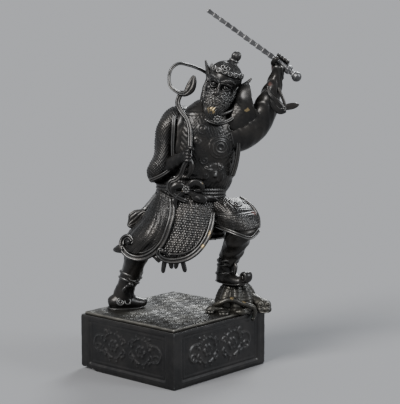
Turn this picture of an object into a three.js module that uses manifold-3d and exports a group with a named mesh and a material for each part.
// A cast bronze warrior in armour, lunging with a jointed whip raised overhead. The rear boot stands on a
// plate of swirling waves, the front boot on a domed beast with a snake, and both on a plinth.
// Millimetres, +Z up. The plinth's sides lie along X and Y.
// The warrior and the beast are drawn in the figure's frame: +X to the raised left arm, -Y to the front,
// the origin under the plinth's centre. The whole is turned and set down at the end.

import * as THREE from 'three';
import { mergeVertices } from 'three/addons/utils/BufferGeometryUtils.js';
import Module from 'manifold-3d';

const wasm = await Module();
wasm.setup();

// Driving dimensions
const FIGURE_TURN = THREE.MathUtils.degToRad(-48.5);
const GAP = 0.3;
const POCKET_VOLUME = 20;

const PLINTH_LENGTH = 170;
const PLINTH_DEPTH = 158;
const PLINTH_HEIGHT = 68;
const PLINTH_WALL = 6;
const MOUTH_MARGIN = 2;
const PANEL_SIDE = 15;
const PANEL_FOOT = 8;
const PANEL_HEAD = 6;
const PANEL_SINK = 1.6;
const RELIEF_HEIGHT = 1.2;
const BLOSSOM_RADIUS = 9;
const BLOSSOM_SPACING = 46;

const GROUND_INSET = 4;
const GROUND_TOP = 71.5;
const WAVE_HEIGHT = 1.4;
const REAR_BOOT = [-58, 10, 72];

const SHELL_CENTRE = [78, 6];
const SHELL_RADIUS = 25;
const SHELL_TOP = 105.5;
const SHELL_RIBS = 8;

const WHIP_RADIUS = 3.4;
const WHIP_JOINTS = 11;
const POMMEL_RADIUS = 6.5;

const vector = (p) => new THREE.Vector3(p[0], p[1], p[2]);

// Solids from geometries, and back
function solid(geometry) {
  const bare = geometry.clone();
  bare.deleteAttribute('normal');
  bare.deleteAttribute('uv');
  const merged = mergeVertices(bare, 1e-4);
  return new wasm.Manifold(new wasm.Mesh({
    numProp: 3,
    vertProperties: new Float32Array(merged.attributes.position.array),
    triVerts: new Uint32Array(merged.index.array),
  }));
}

function join(solids) {
  return solids.reduce((whole, next) => whole.add(next));
}

// The outer skin alone, as a cast piece has no sealed pockets where its forms meet
function geometryOf(whole) {
  const mesh = whole.getMesh();
  const { vertProperties: xyz, triVerts: corners } = mesh;
  const leader = Array.from({ length: xyz.length / 3 }, (_, i) => i);
  const find = (i) => {
    let root = i;
    while (leader[root] !== root) root = leader[root];
    leader[i] = root;
    return root;
  };
  for (let i = 0; i < corners.length; i += 3) {
    leader[find(corners[i + 1])] = find(corners[i]);
    leader[find(corners[i + 2])] = find(corners[i]);
  }
  const corner = (i) => new THREE.Vector3().fromArray(xyz, 3 * i);
  const volumes = new Map();
  for (let i = 0; i < corners.length; i += 3) {
    const [a, b, c] = [0, 1, 2].map((k) => corner(corners[i + k]));
    const shell = find(corners[i]);
    volumes.set(shell, (volumes.get(shell) ?? 0) + a.dot(b.cross(c)) / 6);
  }
  const kept = [];
  for (let i = 0; i < corners.length; i += 3) {
    if (volumes.get(find(corners[i])) > POCKET_VOLUME) kept.push(corners[i], corners[i + 1], corners[i + 2]);
  }
  const geometry = new THREE.BufferGeometry();
  geometry.setAttribute('position', new THREE.BufferAttribute(xyz, 3));
  geometry.setIndex(kept);
  geometry.computeVertexNormals();
  return geometry;
}

// Moves every vertex of a geometry to where place(x, y, z) says
function reshape(geometry, place) {
  const position = geometry.attributes.position;
  for (let i = 0; i < position.count; i += 1) {
    const p = place(position.getX(i), position.getY(i), position.getZ(i));
    position.setXYZ(i, p.x, p.y, p.z);
  }
  return geometry;
}

// A closed skin along a path. Each station is [x, y, z, half width, half depth], and the depth lies
// towards front. A round share above 0 domes the ends over that share of the path.
function skin(stations, { sides = 8, steps = 6, front = [0, -1, 0], round = 0 } = {}) {
  const path = new THREE.CatmullRomCurve3(stations.map(vector), false, 'catmullrom');
  const girth = new THREE.CatmullRomCurve3(
    stations.map((s) => new THREE.Vector3(s[3], s[4], 0)), false, 'catmullrom');
  const towards = vector(front);
  const share = (s) => (round > 0 ? 0.5 - 0.5 * Math.cos(Math.PI * s) : s);
  return solid(reshape(new THREE.CylinderGeometry(1, 1, 1, sides, steps), (x, y, z) => {
    const t = THREE.MathUtils.clamp(share(0.5 - y), 0, 1);
    const along = path.getTangent(t);
    const depth = towards.clone().addScaledVector(along, -towards.dot(along)).normalize();
    const width = new THREE.Vector3().crossVectors(depth, along);
    const size = girth.getPoint(t);
    const end = round > 0 ? Math.min(t, 1 - t) / round : 1;
    const dome = end < 1 ? Math.sqrt(Math.max(1 - (1 - end) ** 2, 0.03)) : 1;
    return path.getPoint(t)
      .addScaledVector(width, x * size.x * dome)
      .addScaledVector(depth, z * size.y * dome);
  }));
}

// A band or bead of one size along a path
function band(points, halfWidth, halfDepth, { sides = 6, steps = 12, front = [0, -1, 0] } = {}) {
  return skin(points.map((p) => [...p, halfWidth, halfDepth]), { sides, steps, front, round: 0.06 });
}

// An ellipsoid, leaning in the figure's front plane by lean degrees
function ball(centre, radii, { lean = 0, sides = 10, rings = 6 } = {}) {
  const geometry = new THREE.SphereGeometry(1, sides, rings);
  geometry.rotateX(Math.PI / 2);
  geometry.scale(...radii);
  geometry.rotateY(THREE.MathUtils.degToRad(lean));
  geometry.translate(...centre);
  return solid(geometry);
}

// A ring round an axis, as on a cuff or a boot top
function hoop(centre, axis, [across, deep], thick, { sides = 5, steps = 14 } = {}) {
  const geometry = new THREE.TorusGeometry(1, 0.5, sides, steps);
  const up = new THREE.Vector3(0, 0, 1);
  const slope = new THREE.Quaternion().setFromUnitVectors(up, vector(axis).normalize());
  return solid(reshape(geometry, (x, y, z) => {
    const reach = Math.hypot(x, y);
    const swell = (reach - 1) * 2 * thick;
    const p = new THREE.Vector3((x / reach) * (across + swell), (y / reach) * (deep + swell), z * 2 * thick);
    return p.applyQuaternion(slope).add(vector(centre));
  }));
}

// A sheet of armour or cloth between two edges, bowed out through a middle line. Each line is a list of
// points from the sheet's top to its hem, and the thickness lies inwards.
function sheet(edge, middle, otherEdge, thickness, { across = 5, down = 6 } = {}) {
  const lines = [edge, middle, otherEdge].map((line) => new THREE.CatmullRomCurve3(line.map(vector)));
  const at = (u, v) => {
    const [a, m, b] = lines.map((line) => line.getPoint(THREE.MathUtils.clamp(v, 0, 1)));
    return new THREE.Vector3()
      .addScaledVector(a, (1 - u) * (1 - 2 * u))
      .addScaledVector(m, 4 * u * (1 - u))
      .addScaledVector(b, u * (2 * u - 1));
  };
  return solid(reshape(new THREE.BoxGeometry(1, 1, 1, across, 1, down), (x, y, z) => {
    const u = x + 0.5;
    const v = 0.5 - z;
    const e = 0.01;
    const sideways = at(u + e, v).sub(at(u - e, v));
    const downwards = at(u, Math.min(v + e, 1)).sub(at(u, Math.max(v - e, 0)));
    const inward = sideways.cross(downwards).normalize();
    return at(u, v).addScaledVector(inward, (y + 0.5) * thickness);
  }));
}

// The plinth: a box open below, each side with a sunk panel and a raised scrolling vine
function boxSolid(size, centre) {
  const geometry = new THREE.BoxGeometry(...size);
  geometry.translate(...centre);
  return solid(geometry);
}

function blossomShape() {
  const petals = 6;
  const pointsPerPetal = 2;
  const count = petals * pointsPerPetal;
  const outline = Array.from({ length: count }, (_, i) => {
    const turn = (2 * Math.PI * i) / count;
    const radius = i % pointsPerPetal === 0 ? 0.72 * BLOSSOM_RADIUS : BLOSSOM_RADIUS;
    return new THREE.Vector2(radius * Math.cos(turn), radius * Math.sin(turn));
  });
  return new THREE.Shape(outline);
}

function scrollShape(radius, thick, from, to) {
  const shape = new THREE.Shape();
  shape.absarc(0, 0, radius, from, to, false);
  shape.absarc(0, 0, radius - thick, to, from, true);
  return shape;
}

// The relief of one side, drawn in the panel's plane with its centre at the origin
function panelRelief(blossoms) {
  const spacing = blossoms > 1 ? BLOSSOM_SPACING : 0;
  const rise = RELIEF_HEIGHT + PANEL_SINK;
  const pieces = [];
  const place = (shape, x, z, segments) => {
    const geometry = new THREE.ExtrudeGeometry(shape, {
      depth: rise, bevelEnabled: false, curveSegments: segments,
    });
    geometry.translate(x, z, -PANEL_SINK);
    pieces.push(geometry);
  };
  for (let i = 0; i < blossoms; i += 1) {
    const x = (i - (blossoms - 1) / 2) * spacing;
    place(blossomShape(), x, 2, 1);
    place(scrollShape(17, 2.6, 0.15 * Math.PI, 0.85 * Math.PI), x, 2, 2);
    place(scrollShape(17, 2.6, 1.15 * Math.PI, 1.85 * Math.PI), x, 2, 2);
  }
  [-1, 1].forEach((side) => {
    const x = side * (spacing / 2 + 27);
    const start = side > 0 ? -0.5 * Math.PI : 0.5 * Math.PI;
    place(scrollShape(12, 2.6, start, start + Math.PI), x - side * 4, 2, 2);
  });
  return pieces;
}

function makePlinth() {
  const hollow = [
    PLINTH_LENGTH - 2 * PLINTH_WALL,
    PLINTH_DEPTH - 2 * PLINTH_WALL,
    PLINTH_HEIGHT - PLINTH_WALL + MOUTH_MARGIN,
  ];
  const panelHeight = PLINTH_HEIGHT - PANEL_FOOT - PANEL_HEAD;
  const panelMid = PANEL_FOOT + panelHeight / 2;
  let whole = boxSolid(
    [PLINTH_LENGTH, PLINTH_DEPTH, PLINTH_HEIGHT], [0, 0, PLINTH_HEIGHT / 2]);
  whole = whole.subtract(boxSolid(hollow, [0, 0, hollow[2] / 2 - MOUTH_MARGIN]));
  const sides = [
    { turn: 0, length: PLINTH_LENGTH, reach: PLINTH_DEPTH / 2, blossoms: 2 },
    { turn: -Math.PI / 2, length: PLINTH_DEPTH, reach: PLINTH_LENGTH / 2, blossoms: 2 },
    { turn: Math.PI, length: PLINTH_LENGTH, reach: PLINTH_DEPTH / 2, blossoms: 1 },
    { turn: Math.PI / 2, length: PLINTH_DEPTH, reach: PLINTH_LENGTH / 2, blossoms: 1 },
  ];
  sides.forEach(({ turn, length, reach, blossoms }) => {
    const cut = new THREE.BoxGeometry(length - 2 * PANEL_SIDE, 2 * PANEL_SINK, panelHeight);
    cut.translate(0, -reach, panelMid);
    cut.rotateZ(turn);
    whole = whole.subtract(solid(cut));
    panelRelief(blossoms).forEach((geometry) => {
      geometry.rotateX(Math.PI / 2);
      geometry.translate(0, -reach + PANEL_SINK, panelMid);
      geometry.rotateZ(turn);
      whole = whole.add(solid(geometry));
    });
  });
  return whole;
}

// The beast under the front boot: ribbed shell, round head over the plinth's edge, paws and a snake
function makeBeast() {
  const [cx, cy] = SHELL_CENTRE;
  const segments = SHELL_RIBS * 3;
  const shell = new THREE.SphereGeometry(1, segments, 5);
  shell.rotateX(Math.PI / 2);
  reshape(shell, (x, y, z) => {
    const rib = 1 + 0.07 * Math.cos(SHELL_RIBS * Math.atan2(y, x)) * Math.hypot(x, y);
    return new THREE.Vector3(
      cx + x * SHELL_RADIUS * rib, cy + y * SHELL_RADIUS * rib, 76 + z * (z > 0 ? 34 : 5));
  });
  const flat = boxSolid([90, 90, 40], [cx, cy, SHELL_TOP + 20]);
  return [
    solid(shell).subtract(flat),
    skin([[90, 4, 84, 9, 9], [100, 2, 83, 8, 8], [110, -1, 77, 8, 8]],
      { sides: 6, steps: 2, front: [0, 0, 1] }),
    ball([112, -1, 76], [10.5, 10, 10], { sides: 8, rings: 5 }),
    ball([117, -8, 79], [3, 3, 3], { sides: 5, rings: 3 }),
    ball([109, -10, 79.5], [3, 3, 3], { sides: 5, rings: 3 }),
    ball([114.5, -10, 72.5], [4.5, 4, 3], { sides: 5, rings: 3 }),
    ball([54, -12, 75], [10, 8, 6], { sides: 6, rings: 4 }),
    ball([47, -16, 74.5], [5, 5, 4.5], { sides: 5, rings: 3 }),
    ball([62, -26, 74], [7, 6, 4], { sides: 6, rings: 4 }),
    ball([92, -10, 75], [8, 8, 6], { sides: 6, rings: 4 }),
    ball([100, 22, 74], [8, 6, 5], { sides: 5, rings: 3 }),
    ball([60, 28, 74], [8, 6, 5], { sides: 5, rings: 3 }),
    band([[46, -4, 74], [58, -18, 82], [70, -19, 88], [82, -19, 84], [93, -17, 80], [100, -14, 76],
      [100, -12, 68], [99, -12, 61]], 3, 3, { steps: 9, sides: 4, front: [0, 0.2, 1] }),
  ];
}

// The plate of waves: a slab whose top swells in swirls, flat under the rear boot
function makeGround() {
  const length = PLINTH_LENGTH - 2 * GROUND_INSET;
  const depth = PLINTH_DEPTH - 2 * GROUND_INSET;
  const bottom = PLINTH_HEIGHT + GAP;
  const boot = vector(REAR_BOOT).applyAxisAngle(new THREE.Vector3(0, 0, 1), FIGURE_TURN);
  const slab = reshape(new THREE.BoxGeometry(length, depth, 1, 6, 6, 1), (x, y, z) => {
    const edge = Math.min(length / 2 - Math.abs(x), depth / 2 - Math.abs(y));
    const swirl = Math.sin(0.075 * x + 0.9 * Math.sin(0.05 * y)) * Math.cos(0.068 * y - 0.04 * x);
    const fromBoot = Math.hypot(x - boot.x, y - boot.y);
    const swell = WAVE_HEIGHT * swirl * (edge > 1 ? 1 : 0) * THREE.MathUtils.smoothstep(fromBoot, 30, 48);
    return new THREE.Vector3(x, y, z > 0 ? GROUND_TOP + swell : bottom);
  });
  const beast = makeBeast().map((piece) => piece.rotate([0, 0, THREE.MathUtils.radToDeg(FIGURE_TURN)]));
  const over = boxSolid([400, 400, 60], [0, 0, bottom - 30]);
  const aside = boxSolid(
    [PLINTH_LENGTH + 2 * GAP, PLINTH_DEPTH + 2 * GAP, PLINTH_HEIGHT], [0, 0, bottom - PLINTH_HEIGHT / 2]);
  return join([solid(slab), ...beast]).subtract(over.intersect(aside));
}

// The warrior's trunk, leaning to the raised arm
function makeTrunk() {
  const chestFront = [0.29, -0.957, 0];
  return [
    skin([
      [18, 4, 188, 24, 20], [20, 3, 205, 31, 24], [22, 2, 217, 38, 30], [23, 2, 226, 38, 30],
      [26, 1, 233, 34, 25], [33, 0, 243, 41, 29], [35, 0, 256, 41, 29], [39, -1, 280, 41, 30],
      [45, 0, 303, 39, 26], [50, 2, 319, 28, 18], [55, 1, 329, 13, 12], [58, 0, 340, 13, 12],
    ], { sides: 12, steps: 11, front: chestFront }),
    band([[77, -8, 318], [79, -12, 298], [78, -13, 274], [75, -12, 252], [71, -11, 240]], 2.4, 3,
      { sides: 4, steps: 4 }),
    band([[34, -18, 318], [46, -28, 307], [62, -26, 305], [76, -14, 313]], 2.6, 3, { sides: 4, steps: 4 }),
    ball([56, -26, 278], [10, 5, 10], { sides: 8, rings: 4 }),
    ball([49, -22, 245], [11, 6, 9], { sides: 8, rings: 4 }),
  ];
}

// Head, hair, beard and diadem
const HEAD_LEAN = 19;

function makeHead() {
  return [
    ball([60, -4, 352], [21, 24, 28], { lean: HEAD_LEAN, sides: 10, rings: 7 }),
    ball([65, 5, 357], [23, 21, 25], { lean: HEAD_LEAN, sides: 7, rings: 4 }),
    skin([[57, -26, 358, 2.5, 3], [55, -29, 351, 3.5, 4], [54, -27, 346, 4.5, 4]], { sides: 5, steps: 2 }),
    skin([[46, -20, 363, 3, 3], [57, -26, 361, 3.5, 3], [69, -21, 358, 3, 3]],
      { sides: 4, steps: 3, front: [0, 0, 1] }),
    skin([[56, -14, 339, 18, 13], [50, -22, 327, 15, 10], [47, -25, 317, 9, 7], [45, -26, 308, 1.5, 1.5]],
      { sides: 7, steps: 4 }),
    skin([[52, -26, 342, 4, 4], [43, -27, 339, 4, 3.5], [37, -23, 331, 1.5, 1.5]], { sides: 4, steps: 2 }),
    skin([[52, -26, 342, 4, 4], [62, -26, 337, 4, 3.5], [68, -21, 329, 1.5, 1.5]], { sides: 4, steps: 2 }),
    hoop([64, 0, 365], [0.33, -0.2, 0.92], [21, 23], 2.6, { sides: 4, steps: 10 }),
    skin([[70, 0, 372, 9, 9], [75, 0, 381, 5, 5], [78, 0, 387, 5.5, 5.5], [79, 0, 391, 2.5, 2.5]],
      { sides: 6, steps: 4 }),
    skin([[45, 1, 360, 5, 5], [42, 2, 371, 2.6, 2.6], [39.5, 2, 381, 0.8, 0.8]], { sides: 4, steps: 2 }),
    skin([[80, 0, 346, 5, 5], [90, 0, 353, 2.6, 2.6], [96, 0, 359, 0.8, 0.8]], { sides: 4, steps: 2 }),
    band([[44, -2, 358], [38, -6, 345], [35, -8, 333], [36, -12, 320], [40, -14, 308]], 2.2, 3,
      { sides: 4, steps: 5 }),
  ];
}

// The raised left arm: bell-mouthed outer sleeve, baggy inner sleeve, fist and the ribbon at the wrist
function makeLeftArm() {
  return [
    skin([
      [62, 2, 303, 14, 16], [76, 1, 307, 20, 20], [88, 0, 318, 23, 19], [95, 0, 327, 27, 21],
      [98, 0, 328.5, 26, 20],
    ], { sides: 9, steps: 4 }),
    skin([
      [70, 2, 288, 23, 18], [88, 1, 293, 20, 19], [102, 0, 304, 18, 17], [113, -2, 322, 15, 15],
      [119, -3, 338, 12, 12], [124, -5, 352, 9.5, 9], [127, -6, 364, 7.5, 7.5], [129, -7, 376, 8, 8],
    ], { sides: 8, steps: 7 }),
    ball([129, -7, 378], [8.5, 8.5, 9.5], { lean: 10, sides: 7, rings: 5 }),
    ...[0, 1, 2].map((finger) => {
      const x = 123 + 6.4 * finger;
      const z = 384 - 4.8 * finger;
      return skin([
        [x + 0.5, 2, z + 1, 3.2, 2.4], [x + 1, -9, z + 3, 3.4, 2.6], [x - 3, -14, z - 5, 3, 2.2],
      ], { sides: 4, steps: 2, front: [0.8, 0, -0.6] });
    }),
    band([[116, -11, 347], [121, -15, 338], [129, -16, 329], [135, -15, 321]], 3, 2.2,
      { sides: 4, steps: 3 }),
    band([[118, -13, 338], [123, -17, 326], [131, -16, 317], [137, -15, 322]], 4, 1.8,
      { sides: 4, steps: 4 }),
    band([[127, -9, 348], [132, -13, 336], [136, -15, 322]], 2.2, 1.8, { sides: 4, steps: 3 }),
    band([[132, -15, 324], [141, -14, 326], [151, -12, 327]], 3.6, 1.8, { sides: 4, steps: 3 }),
  ];
}

// The lowered right arm: hanging patterned sleeve, forearm across to the hand at the waist
function makeRightArm() {
  return [
    skin([
      [20, 3, 316, 9, 12], [4, 3, 313, 11, 20], [-6, 1, 300, 13, 23], [-9, 0, 282, 12, 24],
      [-11, 0, 264, 12.5, 25], [-15, 0, 250, 15, 24], [-22, -2, 240, 12, 19], [-27, -4, 234, 4, 12],
    ], { sides: 9, steps: 7 }),
    band([[1, -22, 314], [1, -26, 300], [0, -27, 280], [1, -27, 262], [-2, -25, 251], [-14, -21, 242],
      [-30, -14, 235]], 2, 2.6, { sides: 4, steps: 6 }),
    skin([[12, -12, 312, 8, 8], [10, -18, 292, 8, 8], [8, -20, 270, 9, 9], [6, -14, 252, 8, 8]],
      { sides: 5, steps: 2 }),
    skin([[-10, -8, 250, 11, 11], [3, -25, 259, 9, 9], [13, -35, 266, 6.5, 7], [24, -42, 268, 6, 6.5]],
      { sides: 6, steps: 3, front: [0, 0, 1] }),
    skin([[20, -36, 270, 3, 5], [27, -46, 269, 3, 5], [19, -50, 267, 2.4, 4.4]],
      { sides: 5, steps: 2, front: [0, 0, 1] }),
  ];
}

// The scarf: it loops out beside the head, crosses the shoulder, runs through the hand and joins the belt
function makeScarf() {
  return [
    band([[64, 18, 350], [46, 14, 361], [35, 9, 369], [21, 4, 374], [8, 0, 376.5], [-1, -2, 371],
      [-4.5, -4, 361], [-3, -8, 350], [5, -12, 343], [15, -14, 340]], 1.8, 3, { sides: 4, steps: 12 }),
    skin([[10, -13, 341, 3, 2], [19, -14, 345, 6, 2.4], [24, -12, 353, 5, 2.4], [25, -10, 361, 1.2, 1]],
      { sides: 5, steps: 3 }),
    band([[12, -8, 344], [8, -9, 337], [6, -11, 329], [10, -15, 320], [18, -22, 310], [21, -27, 298],
      [20, -34, 280], [20, -40, 268]], 3, 2, { sides: 4, steps: 8 }),
    band([[19, -42, 266], [13, -38, 255], [10, -34, 245], [5, -33, 239], [-2, -32, 236], [-4, -32, 230],
      [-1, -33, 224], [7, -34, 218], [16, -33, 214]], 3, 2.4, { sides: 4, steps: 9 }),
  ];
}

// Belt knots and plaque on the front of the waist
function makeBeltKnots() {
  return [
    ball([15, -31, 226], [6, 6, 5], { sides: 6, rings: 4 }),
    skin([[16, -31, 226, 3, 3], [5, -35, 231, 4, 3], [1, -35, 224, 2, 2]], { sides: 4, steps: 3 }),
    skin([[15, -31, 227, 3, 3], [28, -33, 233, 3.5, 3], [34, -31, 226, 2, 2]], { sides: 4, steps: 3 }),
    ball([32, -29, 216], [12, 6, 7], { lean: 10, sides: 8, rings: 4 }),
  ];
}

// Skirt and tassets. Each sheet runs from the belt to its hem, with a bead rolled along the edge.
const RIGHT_ROLL = [
  [-1, -31, 214], [-1, -37, 197], [-5, -41, 182], [-13, -42, 163], [-25, -40, 150], [-40, -34, 143],
  [-54, -27, 145], [-62, -20, 153], [-61, -16, 163], [-54, -22, 167], [-49, -28, 162],
];
const CENTRE_ROLL = [
  [49, -29, 198], [47, -36, 186], [42, -41, 171], [32, -44, 156], [19, -45, 146], [4, -45, 142],
  [-9, -44, 143], [-17, -46, 149], [-12, -48, 154],
];
const LEFT_HEM = [[53, -20, 181], [66, -37, 178], [80, -44, 173], [94, -41, 169], [104, -30, 177]];

function makeSkirt() {
  return [
    sheet(
      [[-10, 16, 226], [-24, 18, 208], [-38, 16, 188], [-54, 10, 170], [-64, 0, 158]],
      [[-13, -14, 226], [-19, -26, 207], [-26, -34, 188], [-39, -37, 168], [-54, -28, 150]],
      [[2, -27, 218], [0, -35, 202], [-4, -40, 184], [-13, -41, 164], [-28, -38, 149]],
      7, { across: 4, down: 5 }),
    band(RIGHT_ROLL, 4.2, 3.6, { sides: 4, steps: 13 }),
    skin([[-60, -20, 152, 5, 5], [-67, -16, 151, 4, 4], [-73, -12, 149, 1.5, 1.5]], { sides: 5, steps: 2 }),
    sheet(
      [[-2, -26, 220], [-3, -33, 200], [-6, -37, 180], [-12, -40, 160], [-18, -41, 145]],
      [[24, -29, 216], [25, -40, 196], [23, -45, 176], [14, -47, 158], [6, -45, 144]],
      [[50, -20, 212], [49, -28, 198], [46, -35, 186], [38, -41, 164], [26, -43, 150]],
      6, { across: 3, down: 5 }),
    band(CENTRE_ROLL, 3.8, 3.6, { sides: 4, steps: 11 }),
    skin([[-7, -43, 146, 2.6, 2.2], [-7, -43, 137, 3, 2.6], [-8, -42, 130, 2, 2]], { sides: 4, steps: 2 }),
    skin([[8, -43, 146, 2.6, 2.2], [8, -43, 137, 3, 2.6], [8, -42, 131, 2, 2]], { sides: 4, steps: 2 }),
    sheet(
      [[46, -22, 212], [50, -26, 202], [53, -26, 192], [54, -22, 181]],
      [[66, -16, 214], [74, -36, 204], [77, -44, 190], [80, -44, 174]],
      [[82, 2, 212], [96, -12, 203], [104, -22, 191], [104, -30, 177]],
      9, { across: 4, down: 3 }),
    band(LEFT_HEM, 2.6, 3.2, { sides: 4, steps: 5 }),
    skin([
      [30, 2, 203, 22, 22], [58, -6, 199, 17, 20], [80, -18, 192, 17, 18], [93, -24, 188, 12, 12],
      [99, -26, 186, 4, 4],
    ], { sides: 6, steps: 4, front: [0.4, -0.8, 0] }),
    sheet(
      [[58, 4, 222], [64, 16, 200], [66, 18, 180], [62, 14, 160]],
      [[22, 32, 224], [20, 42, 200], [14, 48, 176], [6, 44, 150]],
      [[-12, 12, 226], [-28, 22, 204], [-44, 24, 182], [-54, 16, 160]],
      6, { across: 4, down: 3 }),
    skin([[-34, 18, 192, 4, 4], [-45, 17, 184, 11, 3], [-51, 16, 178, 8, 2.5], [-57, 15, 174, 2, 2]],
      { sides: 6, steps: 3 }),
  ];
}

// Legs and boots. Each sole is cut flat where it stands.
function makeLegs() {
  return [
    skin([
      [10, 3, 205, 18, 16], [-14, -4, 182, 18, 18], [-36, -12, 160, 17, 18], [-46, -7, 138, 13.5, 14],
      [-51, 0, 120, 12, 12], [-53, 2, 115, 14, 14], [-55, 4, 110, 13.5, 13.5], [-58, 6, 102, 11, 11],
      [-62, 7, 90, 13, 11], [-63, 7, 78, 14, 10],
    ], { sides: 7, steps: 10 }),
    skin([[-82, 6, 77, 6, 6], [-72, 7, 80, 11, 10], [-58, 9, 80, 11, 10], [-47, 12, 78, 9.5, 8],
      [-39, 14, 78, 7, 6], [-34, 16, 82, 2.5, 2.5]], { sides: 8, steps: 5, front: [0, 0, 1] }),
    skin([[-52, -4, 99, 4, 3.5], [-46, -8, 97, 5, 4], [-50, -8, 91, 2, 2]], { sides: 5, steps: 2 }),
    skin([
      [88, -24, 190, 15, 15], [80, -18, 168, 15, 15], [73, -8, 149, 13, 13], [70, -4, 141, 13.5, 13.5],
      [68, -2, 136, 13.5, 13.5], [66, 2, 127, 11, 11], [65, 4, 114, 12, 12], [65, 4, 104, 12, 12],
    ], { sides: 7, steps: 8 }),
    skin([[58, 17, 109, 6, 6], [65, 6, 113, 11, 11], [74, -6, 111, 10.5, 9], [81, -14, 110, 9, 7],
      [87, -20, 111, 6, 6]], { sides: 8, steps: 4, front: [0, 0, 1] }),
    ball([88, -21, 117], [7.6, 6, 7.6], { sides: 8, rings: 5 }),
    band([[75, -9, 135], [76, -11, 126], [75, -9, 116]], 1.8, 3.4, { sides: 4, steps: 2 }),
  ];
}

// The whip: a four-sided rod with joints, a thin grip, a guard and a pommel ball
const WHIP_TIP = [42.5, 15, 441];
const WHIP_GRIP = [130, -7, 378];
const WHIP_GUARD = [140, -9.3, 369.5];
const POMMEL = [149.5, -12, 361];
const GRIP_RADIUS = 3;
const BLADE_START = 8;

// The grip and the root of the blade, which the fist closes round
function whipGrip(grow) {
  const size = WHIP_RADIUS + 1 + grow;
  const grip = vector(WHIP_GRIP);
  const towardsTip = vector(WHIP_TIP).sub(grip).normalize();
  const inner = grip.clone().addScaledVector(towardsTip, 18).toArray();
  const outer = grip.clone().addScaledVector(vector(POMMEL).sub(grip).normalize(), 14).toArray();
  return skin([[...inner, size, size], [...WHIP_GRIP, size, size], [...outer, size, size]],
    { sides: 8, steps: 2 });
}

function makeWhip() {
  const tip = vector(WHIP_TIP);
  const grip = vector(WHIP_GRIP);
  const length = tip.distanceTo(grip) - BLADE_START;
  const pitch = length / WHIP_JOINTS;
  const profile = [new THREE.Vector2(0, 0)];
  for (let joint = 0; joint < WHIP_JOINTS; joint += 1) {
    const radius = WHIP_RADIUS * (1.1 - (0.25 * joint) / WHIP_JOINTS);
    profile.push(new THREE.Vector2(radius - 0.3, joint * pitch));
    profile.push(new THREE.Vector2(radius + 0.9, (joint + 0.9) * pitch));
  }
  profile.push(new THREE.Vector2(0, length));
  const blade = new THREE.LatheGeometry(profile, 4);
  const direction = tip.clone().sub(grip).normalize();
  const slope = new THREE.Quaternion().setFromUnitVectors(new THREE.Vector3(0, 1, 0), direction);
  const start = grip.clone().addScaledVector(direction, BLADE_START);
  reshape(blade, (x, y, z) => new THREE.Vector3(x, y, z).applyQuaternion(slope).add(start));
  const inBlade = start.clone().addScaledVector(direction, 2).toArray();
  return join([
    solid(blade),
    skin([[...inBlade, GRIP_RADIUS, GRIP_RADIUS], [...WHIP_GRIP, GRIP_RADIUS, GRIP_RADIUS],
      [...POMMEL, GRIP_RADIUS, GRIP_RADIUS]], { sides: 5, steps: 2 }),
    ball(WHIP_GUARD, [5.4, 5.4, 5.4], { sides: 6, rings: 3 }),
    ball(POMMEL, [POMMEL_RADIUS, POMMEL_RADIUS, POMMEL_RADIUS], { sides: 8, rings: 4 }),
  ]);
}

function makeFigure() {
  const groundCut = boxSolid([140, 160, 20], [-60, 20, GROUND_TOP + GAP - 10]);
  const shellCut = boxSolid([70, 90, 40], [76, -2, SHELL_TOP + GAP - 20]);
  return join([
    ...makeTrunk(), ...makeHead(), ...makeLeftArm(), ...makeRightArm(),
    ...makeScarf(), ...makeBeltKnots(), ...makeSkirt(), ...makeLegs(),
  ]).subtract(groundCut).subtract(shellCut).subtract(whipGrip(GAP));
}

// Materials and the finished group
const metal = (color, roughness) => new THREE.MeshStandardMaterial({ color, roughness, metalness: 0.85 });
const bronze = metal(0x2b2622, 0.42);
const darkBronze = metal(0x231f1d, 0.5);
const greenBronze = metal(0x2e2c25, 0.55);
const steel = metal(0x8f9192, 0.35);

function named(name, whole, material) {
  const mesh = new THREE.Mesh(geometryOf(whole), material);
  mesh.name = name;
  return mesh;
}

const plinth = named('plinth', makePlinth(), darkBronze);
const ground = named('ground', makeGround(), greenBronze);
const warrior = new THREE.Group();
warrior.add(named('figure', makeFigure(), bronze), named('whip', makeWhip(), steel));
warrior.rotation.z = FIGURE_TURN;

const work = new THREE.Group();
work.add(plinth, ground, warrior);
work.updateMatrixWorld(true);
const middle = new THREE.Box3().setFromObject(work, true).getCenter(new THREE.Vector3());
work.position.set(-middle.x, -middle.y, 0);

export default work;
